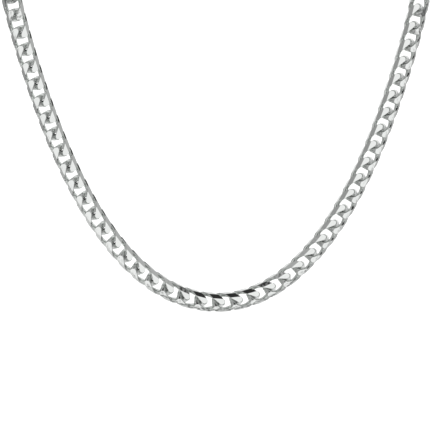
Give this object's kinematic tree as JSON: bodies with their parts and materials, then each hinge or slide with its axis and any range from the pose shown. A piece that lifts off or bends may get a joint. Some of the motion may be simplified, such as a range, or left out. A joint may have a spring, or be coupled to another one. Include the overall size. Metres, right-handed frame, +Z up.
{
  "type": "curb chain necklace",
  "caption": "Curb chain necklace in its worn form: flat twisted links with see-through holes, cut and bevelled, closed at the nape by a plain box clasp.",
  "frame": {"origin": "the middle of the clasp's inner face, where the necklace bears on the nape of the neck", "axes": "+Z up, the front drop faces -Y, +X is the right-hand side seen from the front"},
  "size_m": [0.1373, 0.0835, 0.1594],
  "materials": {
    "polished_silver": "mirror-polished, diamond-cut white silver",
    "clasp_silver": "polished white silver"
  },
  "bodies": {
    "root": {"chain_right": "polished_silver", "chain_left": "polished_silver", "clasp": "clasp_silver"}
  },
  "joints": []
}
